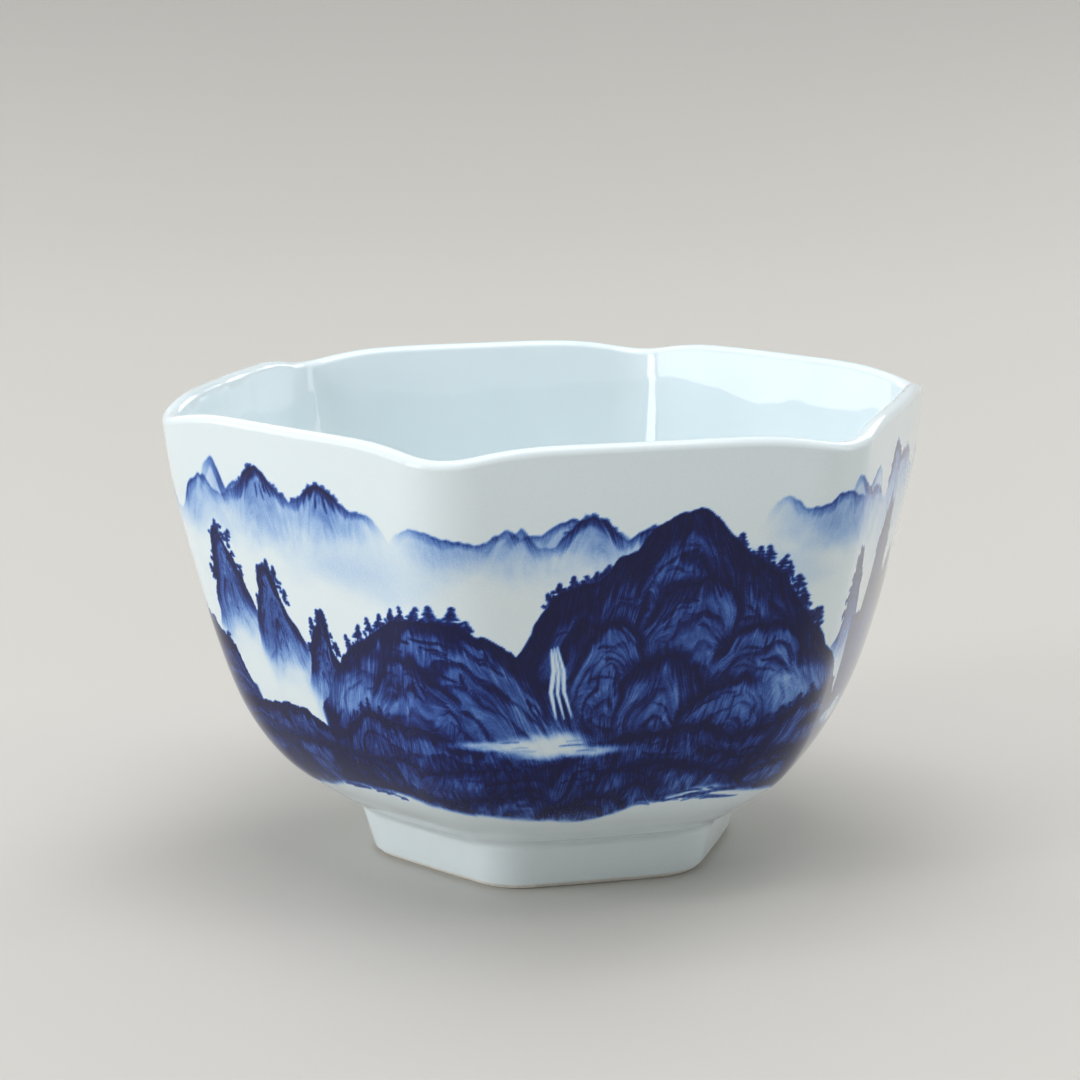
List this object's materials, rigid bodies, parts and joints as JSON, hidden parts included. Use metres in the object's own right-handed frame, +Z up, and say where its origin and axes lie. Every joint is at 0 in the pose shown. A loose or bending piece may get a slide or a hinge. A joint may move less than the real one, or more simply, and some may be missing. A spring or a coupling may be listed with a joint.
{
  "type": "teacup",
  "caption": "Hexagonal porcelain teacup with softly bowed panels, a flared lip, a low hexagonal foot and a blue landscape painted under the glaze.",
  "frame": {"origin": "middle of the plane that the foot ring rests on, on the cup's axis", "axes": "+Z up along the cup's axis, from the foot to the lip; +X through a corner of the hexagon; -Y square to the middle of a panel"},
  "size_m": [0.09, 0.082, 0.0538],
  "materials": {
    "porcelain": "matte",
    "biscuit_foot": "matte, slightly sandy on the bare rim",
    "fired_slip": "matte",
    "painted_glaze": "glossy clear glaze over cobalt blue painting",
    "clear_glaze": "glossy clear glaze",
    "base_glaze": "glossy clear glaze"
  },
  "bodies": {
    "root": {"bowl": "porcelain", "foot_ring": "biscuit_foot", "luting_slip": "fired_slip", "outer_glaze": "painted_glaze", "inner_glaze": "clear_glaze", "base_glaze": "base_glaze"}
  },
  "joints": []
}
